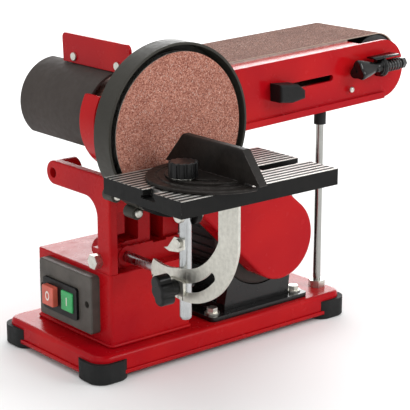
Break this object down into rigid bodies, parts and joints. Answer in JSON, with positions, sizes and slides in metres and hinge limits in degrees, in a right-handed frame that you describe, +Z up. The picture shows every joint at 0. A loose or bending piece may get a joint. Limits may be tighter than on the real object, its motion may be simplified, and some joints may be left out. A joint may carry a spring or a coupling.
{
  "type": "bench belt and disc sander",
  "caption": "Bench grinder with a wide sanding belt on a tilting arm, a vertical sanding disc with guard, a slotted tilting table and a miter gauge on a cast stand with motor.",
  "frame": {"origin": "bottom centre of the whole machine, on the bench under its feet", "axes": "+Z up, +X along the belt arm from the spindle to the idler, -Y the way the sanding disc faces"},
  "size_m": [0.481, 0.352, 0.34],
  "materials": {
    "red_paint": "glossy red enamel",
    "black_paint": "satin black enamel",
    "grey_guard": "matt dark grey paint",
    "cast_table": "machined top, black paint on the skirts",
    "zinc_steel": "bright zinc plate",
    "ground_steel": "ground bright bar",
    "raw_steel": "turned steel",
    "disc_aluminium": "turned aluminium",
    "abrasive": "aluminium oxide grit on cloth",
    "rubber": "moulded black rubber",
    "belt_rubber": "black belt rubber",
    "black_plastic": "moulded black plastic",
    "switch_grey": "grey moulded plastic",
    "green_plastic": "green button",
    "red_plastic": "red button",
    "copper_iron": "laminated iron with copper windings"
  },
  "bodies": {
    "frame": {"base_tray": "red_paint", "rubber_feet": "rubber", "pedestal": "red_paint", "main_frame": "red_paint", "disc_guard": "grey_guard", "lower_disc_cover": "black_paint", "guard_screws": "zinc_steel", "spindle_bearings": "raw_steel", "belt_guard": "red_paint", "belt_guard_back": "black_paint", "v_belt": "belt_rubber", "motor_housing": "black_paint", "motor_end_bells": "grey_guard", "motor_stator": "copper_iron", "motor_plate": "black_paint", "motor_cradle": "black_paint", "hex_fasteners": "zinc_steel", "support_rod": "ground_steel", "support_cap": "rubber", "switch_plate": "switch_grey", "switch_body": "switch_grey"},
    "spindle": {"spindle_shaft": "raw_steel", "sanding_disc": "disc_aluminium", "abrasive_disc": "abrasive", "driven_pulley": "disc_aluminium", "drive_drum": "rubber"},
    "motor_rotor_body": {"motor_rotor": "raw_steel", "motor_pulley": "disc_aluminium"},
    "belt_arm": {"arm_front_cover": "red_paint", "arm_back_cover": "red_paint", "end_bearing": "raw_steel", "arm_bottom_plate": "red_paint", "platen": "zinc_steel", "carriage_guide": "black_paint", "tension_spring": "zinc_steel", "sanding_belt": "abrasive", "tracking_bracket": "black_paint", "tracking_spring": "zinc_steel", "belt_end_guard": "grey_guard", "stop_plate": "red_paint", "stop_bracket": "red_paint", "stop_screws": "zinc_steel"},
    "idler_carriage_body": {"idler_carriage": "raw_steel", "idler_axle": "raw_steel"},
    "idler": {"idler_drum": "disc_aluminium"},
    "tension_lever_body": {"tension_lever": "black_plastic"},
    "tracking_knob_body": {"tracking_knob": "black_plastic", "tracking_screw": "zinc_steel"},
    "table_bar_body": {"table_bar": "ground_steel", "tilt_pivot_bolt": "zinc_steel", "tilt_pointer": "zinc_steel", "clamp_washer": "zinc_steel"},
    "table_body": {"table": "cast_table", "tilt_quadrant": "zinc_steel"},
    "clamp_knob_body": {"clamp_knob": "black_plastic"},
    "miter_bar_body": {"miter_bar": "raw_steel"},
    "miter_head_body": {"miter_head": "cast_table"},
    "miter_knob_body": {"miter_knob": "black_plastic"},
    "start_button_body": {"start_button": "green_plastic"},
    "stop_button_body": {"stop_button": "red_plastic"}
  },
  "joints": [
    {"name": "arm_raise", "type": "hinge", "parent": "frame", "child": "belt_arm", "pos_m": [-0.14853, 0.038, 0.256], "axis": [0, -1, 0], "range_deg": [0, 87.7]},
    {"name": "spindle_spin", "type": "hinge", "parent": "frame", "child": "spindle", "pos_m": [-0.14853, 0.038, 0.256], "axis": [0, 1, 0], "continuous": true},
    {"name": "motor_spin", "type": "hinge", "parent": "frame", "child": "motor_rotor_body", "pos_m": [0.01147, 0.064, 0.11], "axis": [0, 1, 0], "continuous": true},
    {"name": "tension_slide", "type": "slide", "parent": "belt_arm", "child": "tension_lever_body", "axis": [0.9992, 0, 0.0401], "range_m": [0, 0.06]},
    {"name": "idler_slide", "type": "slide", "parent": "belt_arm", "child": "idler_carriage_body", "axis": [-0.9992, 0, -0.0401], "range_m": [0, 0.012]},
    {"name": "idler_spin", "type": "hinge", "parent": "idler_carriage_body", "child": "idler", "pos_m": [0.20784, 0.1, 0.27031], "axis": [0, 1, 0], "continuous": true},
    {"name": "tracking_turn", "type": "hinge", "parent": "belt_arm", "child": "tracking_knob_body", "pos_m": [0.15111, 0.014, 0.27104], "axis": [0.9992, 0, 0.0401], "range_deg": [-360, 360]},
    {"name": "table_bar_slide", "type": "slide", "parent": "frame", "child": "table_bar_body", "axis": [0, -1, 0], "range_m": [0, 0.03]},
    {"name": "table_tilt", "type": "hinge", "parent": "table_bar_body", "child": "table_body", "pos_m": [-0.16203, -0.061, 0.18], "axis": [1, 0, 0], "range_deg": [0, 45]},
    {"name": "clamp_turn", "type": "hinge", "parent": "table_bar_body", "child": "clamp_knob_body", "pos_m": [-0.18853, -0.061, 0.1105], "axis": [1, 0, 0], "range_deg": [0, 360]},
    {"name": "miter_slide", "type": "slide", "parent": "table_body", "child": "miter_bar_body", "axis": [1, 0, 0], "range_m": [-0.06, 0.06]},
    {"name": "miter_swing", "type": "hinge", "parent": "miter_bar_body", "child": "miter_head_body", "pos_m": [-0.17053, -0.106, 0.228], "axis": [0, 0, 1], "range_deg": [-60, 60]},
    {"name": "miter_lock", "type": "hinge", "parent": "miter_bar_body", "child": "miter_knob_body", "pos_m": [-0.20053, -0.106, 0.239], "axis": [0, 0, 1], "range_deg": [0, 360]},
    {"name": "start_press", "type": "slide", "parent": "frame", "child": "start_button_body", "axis": [1, 0, 0], "range_m": [0, 0.0015], "stiffness_N_per_m": 1500},
    {"name": "stop_press", "type": "slide", "parent": "frame", "child": "stop_button_body", "axis": [1, 0, 0], "range_m": [0, 0.004], "stiffness_N_per_m": 1000}
  ],
  "couplings": [
    {"joint": "motor_spin", "follows": "spindle_spin", "ratio": 1},
    {"joint": "idler_spin", "follows": "spindle_spin", "ratio": 1},
    {"joint": "idler_slide", "follows": "tension_slide", "ratio": 0.2}
  ]
}
